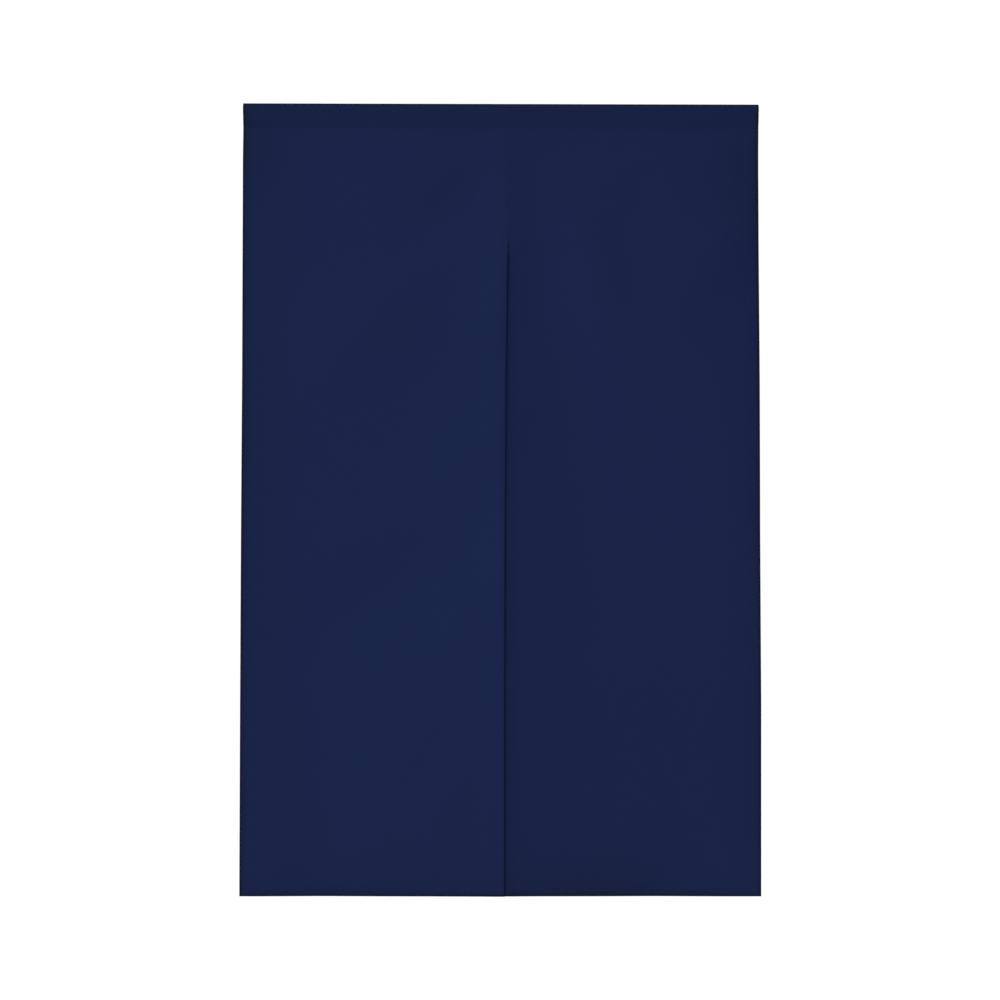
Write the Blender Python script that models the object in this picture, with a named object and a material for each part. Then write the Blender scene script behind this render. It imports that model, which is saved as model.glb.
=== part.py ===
"""A noren, the split curtain of a Japanese doorway: two navy panels that hang from one rod pocket.

The left panel laps in front of the right one. A seam joins them from the top edge down to the
slit, and below it each hangs free. Their tops turn back and are sewn down as the heading, a
pocket that is open at both ends for a rod.

Metres, +Z up. The origin is the middle of the top edge, the front faces -Y, and +X is to the
right of someone who looks at the front. A drop is a distance below the top edge.
"""

import math
from collections import namedtuple

import bmesh
import bpy
from mathutils import Vector

# Overall size
HEIGHT = 1.300  # top edge to bottom hem
TOP_EDGE_FALL = 0.0021  # the right end of the top edge hangs this much lower than the left end

# Cloth
CLOTH = 0.0010  # one layer
HEM_STEP = 0.0006  # how much further back the folded layers of a hem reach
SIDE_HEM = 0.012
BOTTOM_HEM = 0.020
HEM_EDGE = 0.0015  # width of the slope where a hem's thickness ends
SEWN_GAP = 0.0004  # between faces that are sewn together

# Rod pocket
POCKET_HEIGHT = 0.040  # top edge to the row of stitches
POCKET_RADIUS = 0.009  # outside of its round top
POCKET_SEWN = 0.002  # height of the sewn band under the hollow
ARC_STEPS = 8
STRAIGHT_STEPS = 3

# Lapped seam and slit
SEAM_LENGTH = 0.215  # top edge to the head of the slit
LAP_STEP = CLOTH + HEM_STEP + SEWN_GAP  # how far the right panel lies behind the left one
SEAM_RISE = 0.0015  # past the left panel's edge it comes forward over this width
SLIT_STAND_OFF = 0.0030  # how far the right panel hangs behind the left one at the slit
SLIT_OPENING = 0.045  # and it gets there over this drop
SLIT_FADE = 0.250  # away from the slit it comes forward over this width

# Mesh
PANEL_CELLS = 16  # across a panel between its hem and its seam, about 25 mm each
CELL_HEIGHT = 0.025
HEADING_CELL = 0.050
SMOOTH_ANGLE = math.radians(30)

# The x of each panel's side edges at a few drops, because the curtain spreads a little downwards
Edges = namedtuple("Edges", "drop left_outer left_inner right_inner right_outer")
EDGES = [
    Edges(0.000, -0.4217, 0.0131, -0.0120, 0.4230),
    Edges(0.215, -0.4231, 0.0131, -0.0113, 0.4237),
    Edges(0.270, -0.4233, 0.0115, -0.0109, 0.4241),
    Edges(0.450, -0.4240, 0.0091, -0.0098, 0.4252),
    Edges(0.700, -0.4258, 0.0073, -0.0092, 0.4258),
    Edges(0.980, -0.4273, 0.0067, -0.0078, 0.4278),
    Edges(1.300, -0.4286, 0.0067, -0.0078, 0.4278),
]

# Soft folds, each an oval ridge that fades out all round. x and drop are its middle, and a
# negative rise is a trough. Its length leans from upright by turn degrees, top to the right.
Fold = namedtuple("Fold", "x drop turn half_length half_width rise")
FOLDS = [
    # Left panel, from the top down
    Fold(-0.430, 0.090, 45, 0.090, 0.060, 0.003),
    Fold(-0.075, 0.165, 52, 0.100, 0.045, -0.004),
    Fold(0.000, 0.315, 25, 0.090, 0.045, 0.0025),
    Fold(-0.206, 0.355, 50, 0.130, 0.070, 0.005),
    Fold(-0.050, 0.568, 48, 0.100, 0.050, 0.003),
    Fold(-0.206, 0.814, 58, 0.150, 0.060, -0.0045),
    Fold(-0.063, 0.855, 30, 0.060, 0.035, 0.0013),
    Fold(-0.148, 1.052, 45, 0.090, 0.036, 0.0016),
    Fold(-0.293, 1.120, 0, 0.240, 0.075, -0.005),
    Fold(-0.091, 1.134, 35, 0.080, 0.035, 0.0013),
    # Both panels, along the slit
    Fold(0.008, 0.815, 0, 0.520, 0.110, 0.007),
    Fold(0.008, 0.550, 0, 0.900, 0.034, 0.003),
    # Right panel, from the top down
    Fold(0.435, 0.160, 0, 0.140, 0.040, -0.006),
    Fold(0.230, 0.170, 10, 0.060, 0.040, -0.0015),
    Fold(0.368, 0.230, 42, 0.160, 0.050, 0.004),
    Fold(0.160, 0.281, -22, 0.120, 0.042, 0.004),
    Fold(0.111, 0.453, -8, 0.330, 0.055, -0.003),
    Fold(0.368, 0.560, -8, 0.260, 0.080, 0.005),
    Fold(0.291, 0.604, -10, 0.050, 0.030, 0.0012),
    Fold(0.254, 1.300, 60, 0.090, 0.050, -0.003),
]
FOLD_FADE = 0.050  # the folds start at the pocket's stitches and are full this far below them

# Looks: linear colours, roughness
PANEL_NAVY = (0.0104, 0.0187, 0.0650)
HEADING_NAVY = (0.0092, 0.0160, 0.0561)
CLOTH_ROUGHNESS = 0.9


def smooth_step(low, high, value):
    """0 below low, 1 above high and a smooth rise between them."""
    share = min(max((value - low) / (high - low), 0.0), 1.0)
    return share * share * (3.0 - 2.0 * share)


def edges_at(drop):
    """The four edges' x at a drop, straight between the rows of the table."""
    for upper, lower in zip(EDGES, EDGES[1:]):
        if drop <= lower.drop:
            break
    share = (drop - upper.drop) / (lower.drop - upper.drop)
    return Edges(*(a + share * (b - a) for a, b in zip(upper, lower)))


def fold_rise(x, drop):
    """How far the folds bring the cloth towards the viewer."""
    rise = 0.0
    for fold in FOLDS:
        right, down = x - fold.x, drop - fold.drop
        sine, cosine = math.sin(math.radians(fold.turn)), math.cos(math.radians(fold.turn))
        along = (right * sine - down * cosine) / fold.half_length
        across = (right * cosine + down * sine) / fold.half_width
        rise += fold.rise * math.exp(-(along**2) - across**2)
    return rise * smooth_step(POCKET_HEIGHT, POCKET_HEIGHT + FOLD_FADE, drop)


def lap_setback(x, drop):
    """How far the right panel lies behind the fold surface that both panels share."""
    edge = edges_at(drop).left_inner
    seam = LAP_STEP * (1.0 - smooth_step(edge + SEWN_GAP, edge + SEWN_GAP + SEAM_RISE, x))
    slit = SLIT_STAND_OFF * (1.0 - smooth_step(edge, edge + SLIT_FADE, x))
    opening = smooth_step(SEAM_LENGTH, SEAM_LENGTH + SLIT_OPENING, drop)
    return seam + opening * (slit - seam)


def place(x, y, drop):
    """A point of the curtain. The top edge slopes and the bottom edge is level."""
    width = EDGES[0].right_outer - EDGES[0].left_outer
    lift = -TOP_EDGE_FALL * x / width
    return Vector((x, y, lift * (1.0 - drop / HEIGHT) - drop))


def even_steps(start, end, count):
    """Evenly spaced values from start to end, both included, with count cells between them."""
    return [start + (end - start) * i / count for i in range(count + 1)]


def cell_steps(start, end, cell):
    """Evenly spaced values from start to end, both included, about a cell apart."""
    return even_steps(start, end, math.ceil((end - start) / cell))


def cloth_material(name, colour):
    """Matt cloth of one colour."""
    material = bpy.data.materials.new(name)
    material.use_nodes = True
    shader = material.node_tree.nodes["Principled BSDF"]
    shader.inputs["Base Color"].default_value = (*colour, 1.0)
    shader.inputs["Roughness"].default_value = CLOTH_ROUGHNESS
    shader.inputs["Metallic"].default_value = 0.0
    material.diffuse_color = (*colour, 1.0)
    return material


def add_object(name, bm, material):
    """Links a finished bmesh to the scene as one smooth-shaded object."""
    bmesh.ops.recalc_face_normals(bm, faces=bm.faces)
    mesh = bpy.data.meshes.new(name)
    bm.to_mesh(mesh)
    bm.free()
    mesh.shade_smooth()
    mesh.set_sharp_from_angle(angle=SMOOTH_ANGLE)
    mesh.materials.append(material)
    made = bpy.data.objects.new(name, mesh)
    bpy.context.scene.collection.objects.link(made)
    return made


def bridge(bm, first, second, closed):
    """Quads between two rows of vertices of equal length."""
    pairs = list(zip(first, second))
    if closed:
        pairs.append(pairs[0])
    for (a, b), (c, d) in zip(pairs, pairs[1:]):
        bm.faces.new((a, b, d, c))


def panel_columns(edges, inner, outer):
    """The x of a panel's columns at one drop, from its inner edge to its outer one.

    There is one in the middle of the inner hem, which laps, one at each line where a hem ends, and
    one at each side of the seam's step.
    """
    width = abs(outer - inner)
    clear = SIDE_HEM + HEM_EDGE
    step = edges.left_inner - edges.right_inner + SEWN_GAP
    plain = even_steps(step + SEAM_RISE, width - clear, PANEL_CELLS)
    outwards = math.copysign(1.0, outer - inner)
    gaps = [0.0, SIDE_HEM / 2, SIDE_HEM, clear, step, *plain, width - SIDE_HEM, width]
    return [inner + outwards * gap for gap in gaps]


def panel_drops():
    """The drops of a panel's rows, from the pocket's stitches to the bottom edge."""
    hem_line = HEIGHT - BOTTOM_HEM
    plain = cell_steps(POCKET_HEIGHT + SEWN_GAP, hem_line - HEM_EDGE, CELL_HEIGHT)
    return [*plain, hem_line, HEIGHT]


def add_panel(name, inner, outer, setback, material):
    """One panel below its heading: a folded sheet whose sides and bottom are hemmed to the back."""
    drops = panel_drops()
    hem_drop = drops[-2]
    bm = bmesh.new()
    front, back = [], []
    for drop in drops:
        edges = edges_at(drop)
        columns = panel_columns(edges, getattr(edges, inner), getattr(edges, outer))
        side_hems = (*columns[:3], *columns[-2:])
        front_row, back_row = [], []
        for x in columns:
            y = setback(x, drop) - fold_rise(x, drop)
            hem = HEM_STEP if drop >= hem_drop or x in side_hems else 0.0
            front_row.append(bm.verts.new(place(x, y - CLOTH, drop)))
            back_row.append(bm.verts.new(place(x, y + hem, drop)))
        front.append(front_row)
        back.append(back_row)
    for side in (front, back):
        for upper, lower in zip(side, side[1:]):
            bridge(bm, upper, lower, closed=False)
    for row in (0, -1):
        bridge(bm, front[row], back[row], closed=False)
    for column in (0, -1):
        bridge(bm, [r[column] for r in front], [r[column] for r in back], closed=False)
    return add_object(name, bm, material)


def teardrop(radius, front_y, back_y, low_drop):
    """The pocket's section as (y, drop) pairs, from its front foot over the round top to the back.

    The straight sides run from their feet at low_drop and touch the round top's circle.
    """
    below = low_drop - POCKET_RADIUS

    def lean(foot_y):
        distance = math.hypot(foot_y, below)
        return math.asin(radius / distance) - math.asin(foot_y / distance)

    front_lean, back_lean = lean(-front_y), lean(back_y)
    arc = []
    for step in range(ARC_STEPS + 1):
        turn = -front_lean + (math.pi + front_lean + back_lean) * step / ARC_STEPS
        arc.append((-radius * math.cos(turn), POCKET_RADIUS - radius * math.sin(turn)))

    def straight(start, end):
        shares = [step / STRAIGHT_STEPS for step in range(STRAIGHT_STEPS)]
        return [tuple(a + s * (b - a) for a, b in zip(start, end)) for s in shares]

    rise = straight((front_y, low_drop), arc[0])
    fall = straight((back_y, low_drop), arc[-1])
    return [*rise, *arc, *reversed(fall)]


def heading_columns():
    """Places along the heading, each with how much thicker its wall is than one layer."""
    edges = EDGES[0]
    columns = []
    for start, end, extra in (
        (edges.left_outer, edges.left_outer + SIDE_HEM, HEM_STEP),
        (edges.right_inner, edges.left_inner, LAP_STEP),
        (edges.right_outer - SIDE_HEM, edges.right_outer, HEM_STEP),
    ):
        columns += [(start - HEM_EDGE, 0.0), (start, extra), (end, extra), (end + HEM_EDGE, 0.0)]
    columns = columns[1:-1]
    for low, high in ((2, 3), (6, 7)):
        plain = cell_steps(columns[low][0], columns[high][0], HEADING_CELL)[1:-1]
        columns += [(x, 0.0) for x in plain]
    return sorted(columns)


def add_heading(name, material):
    """The rod pocket: a teardrop tube along the top, thicker where one panel laps over the other."""
    bm = bmesh.new()
    outers, inners = [], []
    for x, extra in heading_columns():
        wall = CLOTH + extra
        outer = teardrop(POCKET_RADIUS, -CLOTH, extra + wall, POCKET_HEIGHT)
        inner = teardrop(POCKET_RADIUS - wall, extra, extra, POCKET_HEIGHT - POCKET_SEWN)
        outers.append([bm.verts.new(place(x, y, drop)) for y, drop in outer])
        inners.append([bm.verts.new(place(x, y, drop)) for y, drop in inner[:-1]])
    for rings in (outers, inners):
        for first, second in zip(rings, rings[1:]):
            bridge(bm, first, second, closed=True)
    for outer, inner in ((outers[0], inners[0]), (outers[-1], inners[-1])):
        bridge(bm, outer, [*inner, inner[0]], closed=False)
        bm.faces.new((outer[-1], outer[0], inner[0]))
    return add_object(name, bm, material)


def build():
    for old in list(bpy.data.objects):
        bpy.data.objects.remove(old)
    add_heading("heading", cloth_material("heading_cloth", HEADING_NAVY))
    add_panel(
        "left_panel",
        "left_inner",
        "left_outer",
        lambda x, drop: 0.0,
        cloth_material("left_panel_cloth", PANEL_NAVY),
    )
    add_panel(
        "right_panel",
        "right_inner",
        "right_outer",
        lap_setback,
        cloth_material("right_panel_cloth", PANEL_NAVY),
    )


build()
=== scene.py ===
"""The looks of a noren, the split curtain of a Japanese doorway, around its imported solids.

Each panel is one thin cloth. It starts as the flap behind the rod pocket, runs up the back, over
the pocket's round top and down the front, and ends in the bottom hem. Its sides are hemmed, and
rows of stitches hold the hems, the pocket and the lapped seam.

Metres, +Z up. The origin is the middle of the top edge, the front faces -Y, and +X is to the
right of someone who looks at the front. A drop is a distance below the top edge. A run is a
distance along the cloth from the pocket's front row of stitches: it is positive down the front,
and negative up over the pocket and down to the flap's end. A cloth's face is its outer side, and
its reverse is the inner one.
"""

import math
from collections import namedtuple

import bmesh
import bpy
import numpy as np
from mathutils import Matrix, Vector


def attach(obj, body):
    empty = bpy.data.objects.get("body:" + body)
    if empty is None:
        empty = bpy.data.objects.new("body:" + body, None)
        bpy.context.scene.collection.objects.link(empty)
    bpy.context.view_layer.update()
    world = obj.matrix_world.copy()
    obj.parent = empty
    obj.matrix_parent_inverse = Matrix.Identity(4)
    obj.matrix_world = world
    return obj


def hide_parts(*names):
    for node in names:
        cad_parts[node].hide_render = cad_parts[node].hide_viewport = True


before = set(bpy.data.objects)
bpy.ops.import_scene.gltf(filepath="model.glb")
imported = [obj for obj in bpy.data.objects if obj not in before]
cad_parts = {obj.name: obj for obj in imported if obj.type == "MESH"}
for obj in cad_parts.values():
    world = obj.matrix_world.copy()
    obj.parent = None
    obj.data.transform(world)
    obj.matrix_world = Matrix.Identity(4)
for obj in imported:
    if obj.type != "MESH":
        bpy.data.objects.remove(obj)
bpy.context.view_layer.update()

# Overall size, as in the solids
HEIGHT = 1.300  # top edge to bottom hem
TOP_EDGE_FALL = 0.0021  # the right end of the top edge hangs this much lower than the left end
SIDE_HEM = 0.012
BOTTOM_HEM = 0.020
POCKET_HEIGHT = 0.040  # top edge to the row of stitches
POCKET_RADIUS = 0.009  # outside of its round top
FACE_OFFSET = 0.0010  # the flat cloth's face lies this far in front of the y = 0 plane
SEAM_LENGTH = 0.215  # top edge to the head of the slit
LAP_STEP = 0.00125  # how far the right panel lies behind the left one where they are sewn
SEAM_GAP = 0.00001  # from the left panel's edge to where the right panel starts to come forward
SEAM_RISE = 0.00006  # and along the seam it is flush with the left one after this width
SEAM_FLAT = 0.95  # how much less the left panel's edge is rounded where the seam holds it
SLIT_STAND_OFF = 0.0030  # how far the right panel hangs behind the left one at the slit
SLIT_OPENING = 0.045  # and it gets there over this drop
SLIT_FADE = 0.250  # away from the slit it comes forward over this width

# One real layer of the cloth, and what the turnings add to it
THICK = 0.0004
HEM_EXTRA = 2 * THICK  # a hem is turned twice
FLAP_EXTRA = THICK  # the flap's raw edge is turned under once
FLAP_TURN = 0.010
FLAP_BELOW = 0.0025  # from the stitches to the flap's folded end
SEWN_AIR = 0.00005  # between layers that are sewn together
HEM_RAMP = 0.003  # what lies behind a side hem comes flush with the rest over this width
FLAP_RISE = (0.007, 0.001)  # gaps to the right panel's edge, between which the left flap rises over it

# Mesh
CELL_WIDTH = 0.005
CELL_HEIGHT = 0.0044
HEM_CELL = 0.0025
FLAP_CELL = 0.003
BACK_CELL = 0.004
SEAM_CELL = 0.00004  # across the right panel where it comes forward at the seam
SEAM_CLEAR = 0.0009  # and the lap gets this much narrower down to the slit
STRAIGHT_CELLS = 8
ARC_CELLS = 18
ROUND_STEPS = 3  # rows in the rounding of a folded edge
EDGE_CLOSE = 0.45  # how far face and reverse close on each other at a folded edge, 0.5 is all the way
EDGE_SHARES = (0.3, 0.6, 1.0)  # lines inside a folded edge, as shares of its narrowest rim of painted shade
GROOVE_SIDE = 0.0007  # from a row of stitches to where its groove runs out
FLAP_STEP = 0.0008  # the flap's turned layer ends over this length

# The inner fold of a hem, where its turned layers end: distances beyond it on the face and on the
# reverse, and the share of those layers that is there
INNER_FOLD = [
    (-0.0003, -0.0002, 0.92),
    (0.0, 0.0, 0.5),
    (0.0003, -0.0001, 0.12),
    (0.0007, 0.0006, 0.0),
]

# The x of each panel's side edges at a few drops, because the curtain spreads a little downwards
Edges = namedtuple("Edges", "drop left_outer left_inner right_inner right_outer")
EDGES = [
    Edges(0.000, -0.4217, 0.0131, -0.0120, 0.4230),
    Edges(0.215, -0.4231, 0.0131, -0.0113, 0.4237),
    Edges(0.270, -0.4233, 0.0115, -0.0109, 0.4241),
    Edges(0.450, -0.4240, 0.0091, -0.0098, 0.4252),
    Edges(0.700, -0.4258, 0.0073, -0.0092, 0.4258),
    Edges(0.980, -0.4273, 0.0067, -0.0078, 0.4278),
    Edges(1.300, -0.4286, 0.0067, -0.0078, 0.4278),
]

# Soft folds, each an oval ridge that fades out all round. x and drop are its middle, and a
# negative rise is a trough. Its length leans from upright by turn degrees, top to the right.
Fold = namedtuple("Fold", "x drop turn half_length half_width rise")
FOLDS = [
    # Left panel, from the top down
    Fold(-0.430, 0.090, 45, 0.090, 0.060, 0.003),
    Fold(-0.075, 0.165, 52, 0.100, 0.045, -0.004),
    Fold(0.000, 0.315, 25, 0.090, 0.045, 0.0025),
    Fold(-0.206, 0.355, 50, 0.130, 0.070, 0.005),
    Fold(-0.050, 0.568, 48, 0.100, 0.050, 0.003),
    Fold(-0.206, 0.814, 58, 0.150, 0.060, -0.0045),
    Fold(-0.063, 0.855, 30, 0.060, 0.035, 0.0013),
    Fold(-0.148, 1.052, 45, 0.090, 0.036, 0.0016),
    Fold(-0.293, 1.120, 0, 0.240, 0.075, -0.005),
    Fold(-0.091, 1.134, 35, 0.080, 0.035, 0.0013),
    # Both panels, along the slit
    Fold(0.008, 0.815, 0, 0.520, 0.110, 0.007),
    Fold(0.008, 0.550, 0, 0.900, 0.034, 0.003),
    # Right panel, from the top down
    Fold(0.435, 0.160, 0, 0.140, 0.040, -0.006),
    Fold(0.230, 0.170, 10, 0.060, 0.040, -0.0015),
    Fold(0.368, 0.230, 42, 0.160, 0.050, 0.004),
    Fold(0.160, 0.281, -22, 0.120, 0.042, 0.004),
    Fold(0.111, 0.453, -8, 0.330, 0.055, -0.003),
    Fold(0.368, 0.560, -8, 0.260, 0.080, 0.005),
    Fold(0.291, 0.604, -10, 0.050, 0.030, 0.0012),
    Fold(0.254, 1.300, 60, 0.090, 0.050, -0.003),
]
FOLD_FADE = 0.050  # the folds start at the pocket's stitches and are full this far below them

# Puckers that the stitches draw into the cloth: wave lengths, height and reach from the stitches
PUCKER_WAVES = (0.013, 0.0211, 0.0343)
PUCKER_HEIGHT = 0.00006
PUCKER_REACH = 0.010
PUCKER_SHIFT = 1000.0  # sets the waves along one row of stitches apart from another's

# Stitches
STITCH_PITCH = 0.0030
STITCH_LENGTH = 0.0023
THREAD_RADIUS = 0.00014
STITCH_LIFT = 0.00006  # the middle of a stitch lies this far proud of the cloth
STITCH_SINK = 0.00016  # and its ends this far inside it
STITCH_SIDES = 5
STITCH_RINGS = 5
STITCH_GROOVE = 0.00010
STITCH_MARGIN = 0.001  # a side hem's stitches end this far above the bottom edge
ROW_START = 0.2  # where the first stitch of a row across starts, as a share of the pitch
THREAD_PINCH = 0.7  # the thread's radius at a stitch's ends, as a share of the full one
PROBE_DEPTH = 0.001  # a step into the cloth, which gives the direction out of it
HEM_STITCH = 0.0015  # from a hem's folded edge to its stitches
LAP_STITCH = 0.0020  # from the left panel's edge to the seam's front row of stitches

# Looks: linear colours
NAVY = (0.0042, 0.0114, 0.0532)
THREAD_NAVY = (0.0060, 0.0150, 0.0650)
FLOOR_PALE = (0.82, 0.82, 0.82)

# The cloth's surface
WEAVE_PITCH = 0.0005
WEAVE_SWAP = 3.0  # how quickly warp and weft change places on top
THREAD_BEND = 0.5  # the share of a thread's height that comes and goes where threads cross
SLUB_SCALE = (14.0, 1300.0)  # how fast thick and thin places change along a thread, and across
SLUB_TONE = 0.12
SLUB_HEIGHT = 0.8
DYE_SCALE = 5.0
DYE_TONE = 0.05
CLOTH_TONE = 0.88  # the slubs and the dye add to this
RELIEF = (0.6, 0.00012)  # the weave's strength and height
CLOTH_ROUGHNESS = 0.88
CLOTH_SPECULAR = 0.13
SHEEN = (0.04, 0.5)  # weight and roughness
SHEEN_TINT = (0.25, 0.35, 0.8)

# The thread's and the floor's surface
THREAD_ROUGHNESS = 0.6
THREAD_SPECULAR = 0.2
TWIST_SCALE = 4000.0
TWIST_TONE = 0.5
THREAD_TONE = 0.75  # the twist adds to this
NOISE_DETAIL = 2.0
FLOOR_ROUGHNESS = 0.9

# Painted shade in the cloth's tone
RIGHT_PAINTED_SHADE = 0.965  # painted shade: the right panel's tone, as a share of the left one's, darker for the light that falls from the left
LAYER_PAINTED_SHADE = 0.010  # painted shade: how much darker the cloth is painted for each layer behind it, which lets less light through
POCKET_PAINTED_SHADE = 0.03  # and painted shade over the hollow pocket, whose flap keeps back the light from behind

# Painted shade, where the cloth is painted darker along a line: by how much at the line, and how far
# that reaches
SLIT_EDGE_PAINTED_SHADOW = (0.34, 0.0020)  # painted shadow on the left panel's edge along the slit
SLIT_PAINTED_SHADOW = (0.11, 0.0085)  # painted shadow on the right panel along the left one's edge, which shades it
POCKET_FOOT_PAINTED_SHADE = (0.035, 0.008)  # painted shade in the crease at the stitches under the pocket
OUTLINE_PAINTED_SHADES = ((0.78, 0.0030), (0.20, 0.0100), (0.06, 0.0450))  # painted shade along the outline, where the cloth folds over: rims that add up

# Patches of painted shade: soft ovals where the cloth is painted darker, standing in for its soft
# shading, and by how much at their middles. A negative one is a painted highlight, lighter.
ShadePatch = namedtuple("ShadePatch", "x drop half_width half_height much")
PAINTED_SHADE_PATCHES = [
    # Left panel, from the top down
    ShadePatch(-0.425, 0.060, 0.075, 0.050, 0.15),
    ShadePatch(-0.060, 0.145, 0.070, 0.070, 0.04),
    ShadePatch(-0.420, 0.650, 0.080, 0.420, 0.05),
    ShadePatch(-0.170, 1.320, 0.380, 0.220, 0.07),
    # Right panel, from the top down
    ShadePatch(0.310, 0.100, 0.060, 0.070, 0.05),
    ShadePatch(0.425, 0.120, 0.070, 0.120, 0.15),
    ShadePatch(0.090, 0.320, 0.060, 0.140, -0.035),
    ShadePatch(0.330, 0.330, 0.045, 0.160, 0.04),
    ShadePatch(0.230, 1.100, 0.260, 0.300, 0.05),
    ShadePatch(0.430, 1.100, 0.060, 0.260, 0.04),
    ShadePatch(0.150, 1.320, 0.110, 0.090, 0.15),
]

# View and light
CAMERA_DISTANCE = 4.0
PHOTO_PIXEL = 0.0016407  # metres of the curtain that one pixel of a 1000-pixel frame covers
FRAME_PIXELS = 1000
SENSOR = 36.0
VIEW_CENTRE = (-0.0008, -0.6497)  # x and z in the middle of the frame
KEY_FROM = (-0.8, -1.0, 0.35)
KEY_STRENGTH = 2.9
FILL_FROM = (-0.6, 1.0, 0.35)
FILL_STRENGTH = 1.2
SUN_SOFTNESS = math.radians(64)
AMBIENT = 0.42
SEEN_WHITE = 1.02  # strength of the surround in the picture itself
FLOOR_DROP = 1.90
FLOOR_RADIUS = 1.8
FLOOR_SIDES = 96

Panel = namedtuple("Panel", "name inner outer behind stitch_name")
LEFT = Panel("left_cloth", "left_inner", "left_outer", False, "left_stitches")
RIGHT = Panel("right_cloth", "right_inner", "right_outer", True, "right_stitches")
PANEL_WIDTH = EDGES[0].left_inner - EDGES[0].left_outer
LAP_WIDTH = EDGES[0].left_inner - EDGES[0].right_inner


def smooth_step(low, high, value):
    """0 below low, 1 above high and a smooth rise between them."""
    share = np.clip((value - low) / (high - low), 0.0, 1.0)
    return share * share * (3.0 - 2.0 * share)


def edge_at(name, drop):
    """The x of one side edge at a drop, straight between the rows of the table."""
    return np.interp(drop, [row.drop for row in EDGES], [getattr(row, name) for row in EDGES])


def fold_rise(x, drop):
    """How far the folds bring the cloth towards the viewer."""
    rise = 0.0
    for fold in FOLDS:
        right, down = x - fold.x, drop - fold.drop
        sine, cosine = math.sin(math.radians(fold.turn)), math.cos(math.radians(fold.turn))
        along = (right * sine - down * cosine) / fold.half_length
        across = (right * cosine + down * sine) / fold.half_width
        rise = rise + fold.rise * np.exp(-(along**2) - across**2)
    return rise * smooth_step(POCKET_HEIGHT, POCKET_HEIGHT + FOLD_FADE, drop)


def seam_setback(x, drop):
    """How far the right panel lies behind the left one along the seam: only where they lap."""
    start = edge_at("left_inner", drop) + SEAM_GAP
    return LAP_STEP * (1.0 - smooth_step(start, start + SEAM_RISE, x))


def lap_setback(x, drop):
    """How far the right panel lies behind the fold surface that both panels share."""
    seam = seam_setback(x, drop)
    edge = edge_at("left_inner", drop)
    slit = SLIT_STAND_OFF * (1.0 - smooth_step(edge, edge + SLIT_FADE, x))
    opening = smooth_step(SEAM_LENGTH, SEAM_LENGTH + SLIT_OPENING, drop)
    return seam + opening * (slit - seam)


def waves(place, start):
    """An uneven ripple along a line of stitches."""
    ripple = 0
    for length in PUCKER_WAVES:
        ripple = ripple + np.sin(math.tau * place / length + start * length * PUCKER_SHIFT)
    return ripple


def puckers(panel, x, drop):
    """Small waves along the hems and under the pocket."""
    ripple = 0.0
    for edge, start in ((panel.inner, 0.2), (panel.outer, 0.5)):
        gap = np.abs(x - edge_at(edge, drop)) - SIDE_HEM + HEM_STITCH
        ripple = ripple + waves(drop, start) * np.exp(-((gap / PUCKER_REACH) ** 2))
    for line, start in ((HEIGHT - BOTTOM_HEM + HEM_STITCH, 0.3), (POCKET_HEIGHT, 0.7)):
        gap = drop - line
        ripple = ripple + waves(x, start) * np.exp(-((gap / PUCKER_REACH) ** 2))
    return PUCKER_HEIGHT * ripple


def hang_y(panel, x, drop):
    """The y of a panel's face below the pocket."""
    setback = lap_setback(x, drop) if panel.behind else 0.0
    return setback - FACE_OFFSET - fold_rise(x, drop) + puckers(panel, x, drop)


def hem_share(panel, x, drop):
    """1 on a panel's side hems and 0 between them."""
    gaps = [np.abs(x - edge_at(edge, drop)) for edge in (panel.inner, panel.outer)]
    return 1.0 - smooth_step(SIDE_HEM, SIDE_HEM + HEM_RAMP, np.minimum(*gaps))


def sewn_thickness(panel, x):
    """Front and flap together, at the pocket's row of stitches."""
    hem = HEM_EXTRA * hem_share(panel, x, POCKET_HEIGHT)
    return (THICK + hem) + (THICK + hem + FLAP_EXTRA) + SEWN_AIR


def flap_y(panel, x):
    """The y of the flap's face. In the lap, the left panel's flap goes round the right panel."""
    if panel.behind:
        return seam_setback(x, POCKET_HEIGHT) - FACE_OFFSET + sewn_thickness(panel, x)
    flat = sewn_thickness(panel, x) - FACE_OFFSET
    edge = edge_at("right_inner", POCKET_HEIGHT)
    lapped = flap_y(RIGHT, np.maximum(x, edge)) + THICK + HEM_EXTRA + FLAP_EXTRA + SEWN_AIR
    first, last = FLAP_RISE
    return flat + (lapped - flat) * smooth_step(edge - first, edge - last, x)


def foot_lean(radius, foot_y):
    """How far a straight side of the pocket leans, from its foot to where it touches the round top."""
    distance = np.hypot(foot_y, POCKET_HEIGHT - POCKET_RADIUS)
    return np.arcsin(radius / distance) - np.arcsin(foot_y / distance)


# Lengths of the pocket's section, where the cloth lies flat
STRAIGHT = math.sqrt((POCKET_HEIGHT - POCKET_RADIUS) ** 2 + FACE_OFFSET**2 - POCKET_RADIUS**2)
ARC = POCKET_RADIUS * (math.pi + 2 * float(foot_lean(POCKET_RADIUS, FACE_OFFSET)))
POCKET_RUN = 2 * STRAIGHT + ARC


def mix(share, start, end):
    return start + share * (end - start)


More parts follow.
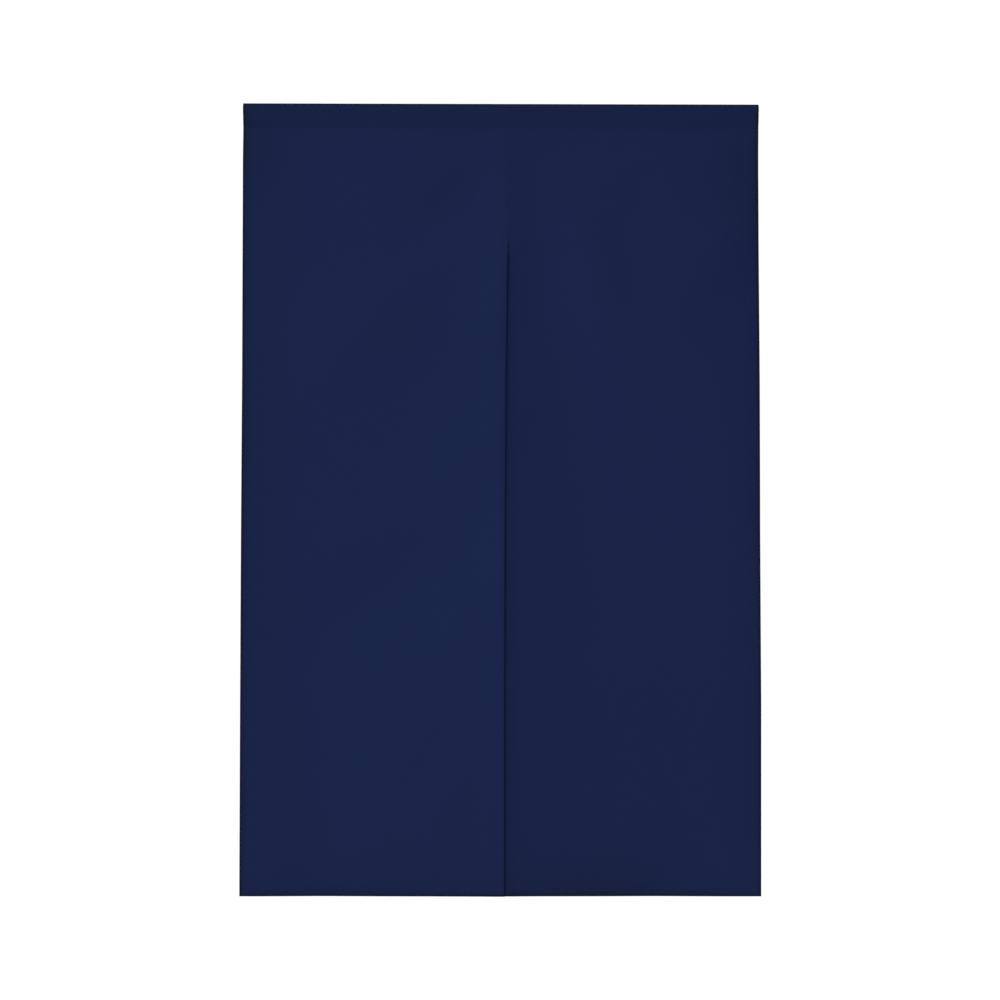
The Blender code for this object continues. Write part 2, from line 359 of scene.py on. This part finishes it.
def outer_face(panel, x, run):
    """A point of the face as (y, drop), and the direction that it faces there as (y, drop)."""
    step = seam_setback(x, POCKET_HEIGHT) if panel.behind else np.zeros_like(x)
    radius = POCKET_RADIUS - step
    front_y, back_y = step - FACE_OFFSET, flap_y(panel, x)
    front_lean, back_lean = foot_lean(radius, -front_y), foot_lean(radius, back_y)
    half_turn = math.pi + front_lean + back_lean

    def arc(share):
        turn = share * half_turn - front_lean
        facing = (-np.cos(turn), -np.sin(turn))
        return (radius * facing[0], POCKET_RADIUS + radius * facing[1], *facing)

    def straight(share, foot_y, top):
        return (mix(share, foot_y, top[0]), mix(share, POCKET_HEIGHT, top[1]), top[2], top[3])

    over = -(run + STRAIGHT)
    zones = [run >= 0, over <= 0, over <= ARC, over <= ARC + STRAIGHT]
    hang_drop = POCKET_HEIGHT + np.maximum(run, 0.0)
    hanging = (hang_y(panel, x, hang_drop), hang_drop, -1.0, 0.0)
    rising = straight(np.clip(-run / STRAIGHT, 0, 1), front_y, arc(0.0))
    turning = arc(np.clip(over / ARC, 0, 1))
    falling = straight(np.clip(1 - (over - ARC) / STRAIGHT, 0, 1), back_y, arc(1.0))
    flap = (back_y, POCKET_HEIGHT + (-run - POCKET_RUN), 1.0, 0.0)
    choices = zip(hanging, rising, turning, falling, flap)
    return [
        np.select(zones, [np.broadcast_to(v, run.shape) for v in parts[:4]], parts[4])
        for parts in choices
    ]


def plain_drop(run):
    """The drop that a run has where the cloth lies flat."""
    middle = np.zeros_like(run)
    return outer_face(LEFT, middle + EDGES[0].left_outer / 2, run)[1]


def cloth_point(panel, x, run, depth):
    """Points of the curtain, depth below the face. The top edge slopes and the bottom one is level."""
    x, run, depth = np.broadcast_arrays(x, run, depth)
    y, drop, facing_y, facing_drop = outer_face(panel, x, run)
    y = y - depth * facing_y
    drop = drop - depth * facing_drop
    lift = -TOP_EDGE_FALL * x / (EDGES[0].right_outer - EDGES[0].left_outer)
    return np.stack([x, y, lift * (1.0 - drop / HEIGHT) - drop], axis=-1)


# A line of the cloth's grid, across or along it. face and reverse are its places on the two
# sides, extra the share of a turning's layers, closing 0.5 at a folded edge, groove a stitch line.
Line = namedtuple("Line", "face reverse extra closing groove")


def even_steps(start, end, cell):
    """Evenly spaced values from start to end, both included, about a cell apart."""
    count = max(1, math.ceil((end - start) / cell))
    return [start + (end - start) * i / count for i in range(count + 1)]


def folded_edge(thickness):
    """Lines from a cloth's edge inwards, where it folds round to the back."""
    lines = []
    for step in range(ROUND_STEPS + 1):
        turn = math.pi / 2 * step / ROUND_STEPS
        place = thickness / 2 * (1 - math.cos(turn))
        lines.append(Line(place, place, 1.0, EDGE_CLOSE * (1 - math.sin(turn)), 0.0))
    return lines


def hem_lines(width):
    """Lines from a hemmed edge inwards: the folded edge, the hem, its stitches and its inner fold."""
    stitch = width - HEM_STITCH
    lines = folded_edge(THICK + HEM_EXTRA)
    first = lines[-1].face
    near = [first + OUTLINE_PAINTED_SHADES[0][1] * share for share in EDGE_SHARES]
    plain = even_steps(near[-1], stitch - GROOVE_SIDE, HEM_CELL)
    lines += [Line(v, v, 1.0, 0.0, 0.0) for v in (*near[:-1], *plain)]
    lines.append(Line(stitch, stitch, 1.0, 0.0, 1.0))
    lines.append(Line(stitch + GROOVE_SIDE, stitch + GROOVE_SIDE, 1.0, 0.0, 0.0))
    for face, reverse, extra in INNER_FOLD:
        lines.append(Line(width + face, width + reverse, extra, 0.0, 0.0))
    return lines


def across_lines(panel):
    """The grid's lines across a panel, from its inner edge to its outer one, as shares of its width."""
    hem = hem_lines(SIDE_HEM)
    start = hem[-1].face
    plain = even_steps(start, PANEL_WIDTH - start, CELL_WIDTH)[1:-1]
    if panel.behind:
        low, high = LAP_WIDTH - SEAM_CLEAR, LAP_WIDTH + SEAM_GAP + SEAM_RISE + 2 * SEAM_CELL
        near = [v for v in plain if not low < v < high]
        plain = sorted([*near, *even_steps(low, high, SEAM_CELL)])
    lines = hem + [Line(v, v, 0.0, 0.0, 0.0) for v in plain]
    for line in reversed(hem):
        far = line._replace(face=PANEL_WIDTH - line.face, reverse=PANEL_WIDTH - line.reverse)
        lines.append(far)
    return [v._replace(face=v.face / PANEL_WIDTH, reverse=v.reverse / PANEL_WIDTH) for v in lines]


def along_lines():
    """The grid's lines along a panel, from the flap's end over the pocket to the bottom edge."""
    end = -(POCKET_RUN + FLAP_BELOW)
    lines = []
    for line in folded_edge(THICK + FLAP_EXTRA):
        lines.append(line._replace(face=end + line.face, reverse=end + line.reverse))
    back_row = -POCKET_RUN
    for gap, groove in ((-GROOVE_SIDE, 0.0), (0.0, 1.0), (GROOVE_SIDE, 0.0)):
        lines.append(Line(back_row + gap, back_row + gap, 1.0, 0.0, groove))
    turned = end + FLAP_TURN
    flap = even_steps(back_row + GROOVE_SIDE, turned, FLAP_CELL)[1:]
    lines += [Line(v, v, 1.0, 0.0, 0.0) for v in flap]
    falling = even_steps(turned + FLAP_STEP, -(STRAIGHT + ARC), BACK_CELL)
    arc = [-(STRAIGHT + ARC) + ARC * (i + 1) / ARC_CELLS for i in range(ARC_CELLS)]
    rise = [-STRAIGHT + STRAIGHT * (i + 1) / STRAIGHT_CELLS for i in range(STRAIGHT_CELLS - 1)]
    lines += [Line(v, v, 0.0, 0.0, 0.0) for v in (*falling, *arc, *rise, -GROOVE_SIDE)]
    lines.append(Line(0.0, 0.0, 0.0, 0.0, 1.0))
    bottom = HEIGHT - POCKET_HEIGHT
    hem = [v._replace(face=bottom - v.face, reverse=bottom - v.reverse) for v in hem_lines(BOTTOM_HEM)]
    plain = even_steps(GROOVE_SIDE, hem[-1].face, CELL_HEIGHT)[:-1]
    lines += [Line(v, v, 0.0, 0.0, 0.0) for v in plain]
    return lines + hem[::-1]


def panel_x(panel, share, run):
    """The x at a share of a panel's width, from its inner edge to its outer one."""
    drop = np.clip(plain_drop(run), 0.0, HEIGHT)
    inner, outer = edge_at(panel.inner, drop), edge_at(panel.outer, drop)
    return inner + share * (outer - inner)


def column_of(lines, field):
    return np.array([getattr(line, field) for line in lines], float)


def grid_thickness(across, along):
    """The layers' thickness at each crossing of the grid."""
    hem = HEM_EXTRA * column_of(across, "extra")[None, :]
    runs = column_of(along, "face")
    turning = np.where(runs < 0, FLAP_EXTRA, HEM_EXTRA) * column_of(along, "extra")
    return THICK + hem + turning[:, None]


def add_cloth(panel, material):
    """One panel's cloth, a closed thin sheet with its turnings."""
    across, along = across_lines(panel), along_lines()
    thickness = grid_thickness(across, along)
    drops = plain_drop(column_of(along, "face"))
    sewn = 1.0 - smooth_step(SEAM_LENGTH, SEAM_LENGTH + SLIT_OPENING, drops)
    inner = column_of(across, "face") < 0.5
    open_row = 0.5 - column_of(along, "closing")[:, None]
    open_column = 0.5 - column_of(across, "closing") * (1.0 - SEAM_FLAT * np.outer(sewn, inner))
    closing = 0.5 - 2.0 * open_row * open_column
    rows_of = np.maximum(column_of(along, "groove")[:, None], column_of(across, "groove")[None, :])
    groove = STITCH_GROOVE * rows_of * (1.0 - 2.0 * closing)
    points, places = [], []
    for side, share_of_depth in (("face", closing), ("reverse", 1.0 - closing)):
        share = column_of(across, side)[None, :]
        run = column_of(along, side)[:, None]
        share, run = np.broadcast_arrays(share, run)
        x = panel_x(panel, share, run)
        depth = share_of_depth * thickness + (groove if side == "face" else -groove)
        points.append(cloth_point(panel, x, run, depth).reshape(-1, 3))
        places.append(np.stack([share * PANEL_WIDTH, run, 0 * run], axis=-1).reshape(-1, 3))
    shade = cloth_shade(panel, across, along, thickness).ravel()
    rows, columns = thickness.shape
    index = np.arange(rows * columns).reshape(rows, columns)
    other = index + rows * columns
    mirrored = not panel.behind  # the left panel's columns run from right to left
    faces = [
        quads(index, flip=mirrored),
        quads(other, flip=not mirrored),
        quads(np.stack([index[0], other[0]]), flip=not mirrored),
        quads(np.stack([index[-1], other[-1]]), flip=mirrored),
        quads(np.stack([index[:, 0], other[:, 0]]), flip=mirrored),
        quads(np.stack([index[:, -1], other[:, -1]]), flip=not mirrored),
    ]
    mesh = make_mesh(panel.name, np.concatenate(points), np.concatenate(faces), material)
    add_point_values(mesh, "cloth_place", "FLOAT_VECTOR", np.concatenate(places))
    add_point_values(mesh, "cloth_shade", "FLOAT", np.concatenate([shade, shade]))
    return add_object(panel.name, mesh)


def painted_patch_shade(x, drop):
    """How much of its colour the cloth keeps in the patches of painted shade."""
    shade = 1.0
    for patch in PAINTED_SHADE_PATCHES:
        right, down = (x - patch.x) / patch.half_width, (drop - patch.drop) / patch.half_height
        shade = shade * (1.0 - patch.much * np.exp(-(right**2) - down**2))
    return shade


def cloth_shade(panel, across, along, thickness):
    """How much of its colour the cloth keeps under painted shade: less on more layers, over the pocket,
    in the patches, close to the outline, the pocket's stitches and the slit, and on the right panel.
    """
    place = PANEL_WIDTH * column_of(across, "face")[None, :]
    run = column_of(along, "face")[:, None]
    drop = plain_drop(run)
    outline_gap = np.minimum(PANEL_WIDTH - place, np.minimum(drop, HEIGHT - drop))
    # painted shade: the patches darken the colour where the cloth's soft shading falls
    shade = painted_patch_shade(panel_x(panel, place / PANEL_WIDTH, run), drop)
    # painted shade: darker for each layer behind the face, which keeps back the light from behind
    shade = shade * (1.0 - LAYER_PAINTED_SHADE * (thickness / THICK - 1.0))
    # painted shade over the hollow pocket
    shade = shade * (1.0 - POCKET_PAINTED_SHADE * (run < 0))
    free = smooth_step(SEAM_LENGTH, SEAM_LENGTH + SLIT_OPENING, drop)
    # painted shade: dark rims along the outline
    darker = [(outline_gap, much, far) for much, far in OUTLINE_PAINTED_SHADES]
    # painted shade along the crease of the pocket's stitches
    darker.append((drop - POCKET_HEIGHT, *POCKET_FOOT_PAINTED_SHADE))
    # painted shadow along the slit, on the left panel's edge and on the right panel beside it
    edge_gap = place - LAP_WIDTH if panel.behind else place
    much, far = SLIT_PAINTED_SHADOW if panel.behind else SLIT_EDGE_PAINTED_SHADOW
    darker.append((edge_gap, free * much, far))
    for gap, much, far in darker:
        shade = shade * (1.0 - much * np.exp(-((gap / far) ** 2)))
    # painted shade: the right panel is painted darker for the light that falls from the left
    return shade * RIGHT_PAINTED_SHADE if panel.behind else shade


def quads(index, flip):
    """Faces between the rows and columns of a grid of vertices."""
    corners = [index[:-1, :-1], index[1:, :-1], index[1:, 1:], index[:-1, 1:]]
    if flip:
        corners.reverse()
    return np.stack(corners, axis=-1).reshape(-1, 4)


def make_mesh(name, points, faces, material):
    mesh = bpy.data.meshes.new(name)
    mesh.from_pydata(points.tolist(), [], [[int(v) for v in face] for face in faces])
    mesh.shade_smooth()
    mesh.materials.append(material)
    return mesh


def add_point_values(mesh, name, kind, values):
    attribute = mesh.attributes.new(name, kind, "POINT")
    field = "vector" if kind == "FLOAT_VECTOR" else "value"
    attribute.data.foreach_set(field, np.asarray(values, np.float32).ravel())


def add_object(name, mesh):
    made = bpy.data.objects.new(name, mesh)
    bpy.context.scene.collection.objects.link(made)
    return made


def stitch_places(panel):
    """Every stitch's two ends on the cloth, as (x, run) pairs, with the side of the cloth it lies on."""
    bottom = HEIGHT - POCKET_HEIGHT
    bottom_row = bottom - BOTTOM_HEM + HEM_STITCH
    hem = (SIDE_HEM - HEM_STITCH) / PANEL_WIDTH
    front_start = (LAP_WIDTH + HEM_STITCH) / PANEL_WIDTH if panel.behind else 0.0
    places = [
        stitch_row(panel, bottom_row, 0.0, 0),
        stitch_row(panel, bottom_row, 0.0, 1),
        stitch_row(panel, -POCKET_RUN, 0.0, 0),
        stitch_row(panel, 0.0, front_start, 0),
    ]
    for share in (hem, 1.0 - hem):
        for side in (0, 1):
            places.append(stitch_column(panel, share, -POCKET_RUN, bottom - STITCH_MARGIN, side))
    if not panel.behind:
        seam_foot = SEAM_LENGTH - POCKET_HEIGHT
        places.append(stitch_column(panel, LAP_STITCH / PANEL_WIDTH, 0.0, seam_foot, 0))
    return np.concatenate(places)


def stitch_column(panel, share, first, last, side):
    """Stitches down a panel at one share of its width."""
    starts = np.arange(first, last - STITCH_LENGTH, STITCH_PITCH)
    ends = starts + STITCH_LENGTH
    shares = np.full_like(starts, share)
    sides = np.full_like(starts, side)
    from_x, to_x = panel_x(panel, shares, starts), panel_x(panel, shares, ends)
    return np.stack([from_x, starts, to_x, ends, sides], axis=-1)


def stitch_row(panel, run, first, side):
    """Stitches across a panel at one run, from a share of its width to its outer edge."""
    count = int(PANEL_WIDTH * (1.0 - first) / STITCH_PITCH)
    starts = first + (np.arange(count) + ROW_START) * STITCH_PITCH / PANEL_WIDTH
    ends = starts + STITCH_LENGTH / PANEL_WIDTH
    runs = np.full_like(starts, run)
    sides = np.full_like(starts, side)
    from_x, to_x = panel_x(panel, starts, runs), panel_x(panel, ends, runs)
    return np.stack([from_x, runs, to_x, runs, sides], axis=-1)


def layer_depth(panel, x, run):
    """The thickness of a panel's layers at places of the cloth."""
    drop = plain_drop(run)
    depth = THICK + HEM_EXTRA * hem_share(panel, x, drop)
    depth = depth + HEM_EXTRA * (run > HEIGHT - POCKET_HEIGHT - BOTTOM_HEM)
    return depth + FLAP_EXTRA * (run < FLAP_TURN - FLAP_BELOW - POCKET_RUN)


def add_stitches(panel, material):
    """The panel's stitches as one mesh: each is a short thread whose two ends dip into the cloth."""
    place = stitch_places(panel)
    sides = place[:, 4]
    ends = []
    for x, run in ((place[:, 0], place[:, 1]), (place[:, 2], place[:, 3])):
        depth = layer_depth(panel, x, run)
        surface = cloth_point(panel, x, run, sides * depth)
        inside = cloth_point(panel, x, run, sides * depth + PROBE_DEPTH)
        ends.append((surface, (surface - inside) / PROBE_DEPTH))
    (start, start_up), (end, _) = ends
    up = start_up * np.where(sides > 0.5, -1.0, 1.0)[:, None]
    along = end - start
    length = np.linalg.norm(along, axis=1, keepdims=True)
    along = along / length
    aside = np.cross(along, up)
    points = []
    for ring in range(STITCH_RINGS):
        share = ring / (STITCH_RINGS - 1)
        arch = math.sin(math.pi * share)
        lift = mix(arch, -STITCH_SINK, STITCH_LIFT)
        radius = THREAD_RADIUS * mix(arch, THREAD_PINCH, 1.0)
        centre = start + along * (length * share) + up * lift
        for corner in range(STITCH_SIDES):
            turn = math.tau * corner / STITCH_SIDES
            points.append(centre + radius * (math.cos(turn) * aside + math.sin(turn) * up))
    points = np.stack(points, axis=1)
    count, each = points.shape[:2]
    first = np.arange(count)[:, None, None] * each
    faces = []
    for ring in range(STITCH_RINGS - 1):
        for corner in range(STITCH_SIDES):
            a = ring * STITCH_SIDES + corner
            b = ring * STITCH_SIDES + (corner + 1) % STITCH_SIDES
            faces.append([a, a + STITCH_SIDES, b + STITCH_SIDES, b])
    caps = [list(range(STITCH_SIDES)), list(range(each - STITCH_SIDES, each))[::-1]]
    walls = (np.array(faces)[None] + first).reshape(-1, 4).tolist()
    tips = (np.array(caps)[None] + first).reshape(-1, STITCH_SIDES).tolist()
    mesh = bpy.data.meshes.new(panel.stitch_name)
    mesh.from_pydata(points.reshape(-1, 3).tolist(), [], walls + tips)
    mesh.shade_smooth()
    mesh.materials.append(material)
    return add_object(panel.stitch_name, mesh)


def new_material(name, roughness):
    """A new Principled material: its tree and its shader."""
    material = bpy.data.materials.new(name)
    material.use_nodes = True
    tree = material.node_tree
    shader = tree.nodes["Principled BSDF"]
    shader.inputs["Roughness"].default_value = roughness
    return material, tree, shader


def calculate(tree, operation, *values):
    """A Math node whose inputs are numbers or other nodes' outputs."""
    node = tree.nodes.new("ShaderNodeMath")
    node.operation = operation
    for socket, value in zip(node.inputs, values):
        if isinstance(value, (int, float)):
            socket.default_value = value
        else:
            tree.links.new(value, socket)
    return node.outputs["Value"]


def noise(tree, vector, scales):
    """Soft noise in a place that is stretched by the scales."""
    stretch = tree.nodes.new("ShaderNodeVectorMath")
    stretch.operation = "MULTIPLY"
    tree.links.new(vector, stretch.inputs[0])
    stretch.inputs[1].default_value = scales
    node = tree.nodes.new("ShaderNodeTexNoise")
    tree.links.new(stretch.outputs["Vector"], node.inputs["Vector"])
    node.inputs["Scale"].default_value = 1.0
    node.inputs["Detail"].default_value = NOISE_DETAIL
    return node.outputs["Fac"]


def attribute(tree, name):
    node = tree.nodes.new("ShaderNodeAttribute")
    node.attribute_name = name
    return node


def weave_height(tree, place):
    """Plain weave: warp and weft threads that pass over each other in turn."""
    split = tree.nodes.new("ShaderNodeSeparateXYZ")
    tree.links.new(place, split.inputs["Vector"])
    swings, threads = [], []
    for axis in ("X", "Y"):
        phase = calculate(tree, "MULTIPLY", split.outputs[axis], math.pi / WEAVE_PITCH)
        swings.append(calculate(tree, "SINE", phase))
        threads.append(calculate(tree, "ABSOLUTE", swings[-1]))
    over = calculate(tree, "MULTIPLY_ADD", calculate(tree, "MULTIPLY", *swings), WEAVE_SWAP, 0.5)
    over = calculate(tree, "MINIMUM", calculate(tree, "MAXIMUM", over, 0.0), 1.0)
    heights = []
    for round_one, long_one in (threads, threads[::-1]):
        rounding = calculate(tree, "SQRT", round_one)
        bend = calculate(tree, "MULTIPLY_ADD", long_one, THREAD_BEND, 1.0 - THREAD_BEND)
        heights.append(calculate(tree, "MULTIPLY", rounding, bend))
    warp, weft = heights
    difference = calculate(tree, "SUBTRACT", warp, weft)
    return calculate(tree, "MULTIPLY_ADD", over, difference, weft)


def scaled_colour(tree, colour, factor):
    """A colour times a factor."""
    node = tree.nodes.new("ShaderNodeVectorMath")
    node.operation = "SCALE"
    node.inputs[0].default_value = colour
    tree.links.new(factor, node.inputs["Scale"])
    return node.outputs["Vector"]


def cloth_material():
    """Navy cotton in plain weave, with uneven threads and dye, and the painted shade that cloth_shade
    gives.
    """
    material, tree, shader = new_material("navy_cotton", CLOTH_ROUGHNESS)
    place = attribute(tree, "cloth_place").outputs["Vector"]
    shade = attribute(tree, "cloth_shade").outputs["Fac"]
    weft_slub = noise(tree, place, (*SLUB_SCALE, 0.0))
    warp_slub = noise(tree, place, (*SLUB_SCALE[::-1], 0.0))
    dye = noise(tree, place, (DYE_SCALE, DYE_SCALE, 0.0))
    tone = calculate(tree, "MULTIPLY_ADD", weft_slub, SLUB_TONE, CLOTH_TONE)
    tone = calculate(tree, "MULTIPLY_ADD", warp_slub, SLUB_TONE, tone)
    tone = calculate(tree, "MULTIPLY_ADD", dye, DYE_TONE, tone)
    tone = calculate(tree, "MULTIPLY", tone, shade)
    tree.links.new(scaled_colour(tree, NAVY, tone), shader.inputs["Base Color"])
    height = weave_height(tree, place)
    height = calculate(tree, "MULTIPLY_ADD", weft_slub, SLUB_HEIGHT, height)
    height = calculate(tree, "MULTIPLY_ADD", warp_slub, SLUB_HEIGHT, height)
    bump = tree.nodes.new("ShaderNodeBump")
    bump.inputs["Strength"].default_value = RELIEF[0]
    bump.inputs["Distance"].default_value = RELIEF[1]
    tree.links.new(height, bump.inputs["Height"])
    tree.links.new(bump.outputs["Normal"], shader.inputs["Normal"])
    shader.inputs["Specular IOR Level"].default_value = CLOTH_SPECULAR
    shader.inputs["Sheen Weight"].default_value = SHEEN[0]
    shader.inputs["Sheen Roughness"].default_value = SHEEN[1]
    shader.inputs["Sheen Tint"].default_value = (*SHEEN_TINT, 1.0)
    return material


def thread_material():
    """Sewing thread of the cloth's colour, with its twist."""
    material, tree, shader = new_material("navy_thread", THREAD_ROUGHNESS)
    coordinates = tree.nodes.new("ShaderNodeTexCoord")
    twist = noise(tree, coordinates.outputs["Object"], (TWIST_SCALE, TWIST_SCALE, TWIST_SCALE))
    tone = calculate(tree, "MULTIPLY_ADD", twist, TWIST_TONE, THREAD_TONE)
    tree.links.new(scaled_colour(tree, THREAD_NAVY, tone), shader.inputs["Base Color"])
    shader.inputs["Specular IOR Level"].default_value = THREAD_SPECULAR
    return material


def floor_material():
    """Pale matt studio floor."""
    material, _, shader = new_material("pale_floor", FLOOR_ROUGHNESS)
    shader.inputs["Base Color"].default_value = (*FLOOR_PALE, 1.0)
    return material


def add_floor():
    bm = bmesh.new()
    bmesh.ops.create_circle(bm, cap_ends=True, segments=FLOOR_SIDES, radius=FLOOR_RADIUS)
    mesh = bpy.data.meshes.new("floor")
    bm.to_mesh(mesh)
    bm.free()
    mesh.materials.append(floor_material())
    floor = add_object("floor", mesh)
    floor.location = (0.0, 0.0, -FLOOR_DROP)


def add_camera():
    """Square on, as far away as gives the photograph's frame."""
    data = bpy.data.cameras.new("camera")
    data.sensor_width = SENSOR
    data.lens = SENSOR * CAMERA_DISTANCE / (PHOTO_PIXEL * FRAME_PIXELS)
    camera = bpy.data.objects.new("camera", data)
    camera.location = (VIEW_CENTRE[0], -CAMERA_DISTANCE, VIEW_CENTRE[1])
    camera.rotation_euler = (math.pi / 2, 0.0, 0.0)
    bpy.context.scene.collection.objects.link(camera)
    bpy.context.scene.camera = camera


def add_sun(name, direction, strength):
    """A soft light from far away in one direction."""
    data = bpy.data.lights.new(name, "SUN")
    data.energy = strength
    data.angle = SUN_SOFTNESS
    sun = bpy.data.objects.new(name, data)
    sun.rotation_euler = Vector(direction).to_track_quat("Z", "Y").to_euler()
    bpy.context.scene.collection.objects.link(sun)


def add_light():
    """A key light from the front left, a fill light for the back, and a white surround."""
    add_sun("key", KEY_FROM, KEY_STRENGTH)
    add_sun("fill", FILL_FROM, FILL_STRENGTH)
    world = bpy.data.worlds.new("studio")
    world.use_nodes = True
    bpy.context.scene.world = world
    tree = world.node_tree
    background = tree.nodes["Background"]
    background.inputs["Color"].default_value = (1.0, 1.0, 1.0, 1.0)
    path = tree.nodes.new("ShaderNodeLightPath")
    seen = path.outputs["Is Camera Ray"]
    strength = calculate(tree, "MULTIPLY_ADD", seen, SEEN_WHITE - AMBIENT, AMBIENT)
    tree.links.new(strength, background.inputs["Strength"])
    bpy.context.scene.view_settings.view_transform = "Standard"


def build():
    add_camera()
    add_light()
    add_floor()
    cloth, thread = cloth_material(), thread_material()
    for panel, node in ((LEFT, "left_panel"), (RIGHT, "right_panel")):
        sheet = add_cloth(panel, cloth)
        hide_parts(node, "heading")
        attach(sheet, "root")
        stitches = add_stitches(panel, thread)
        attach(stitches, "root")


build()
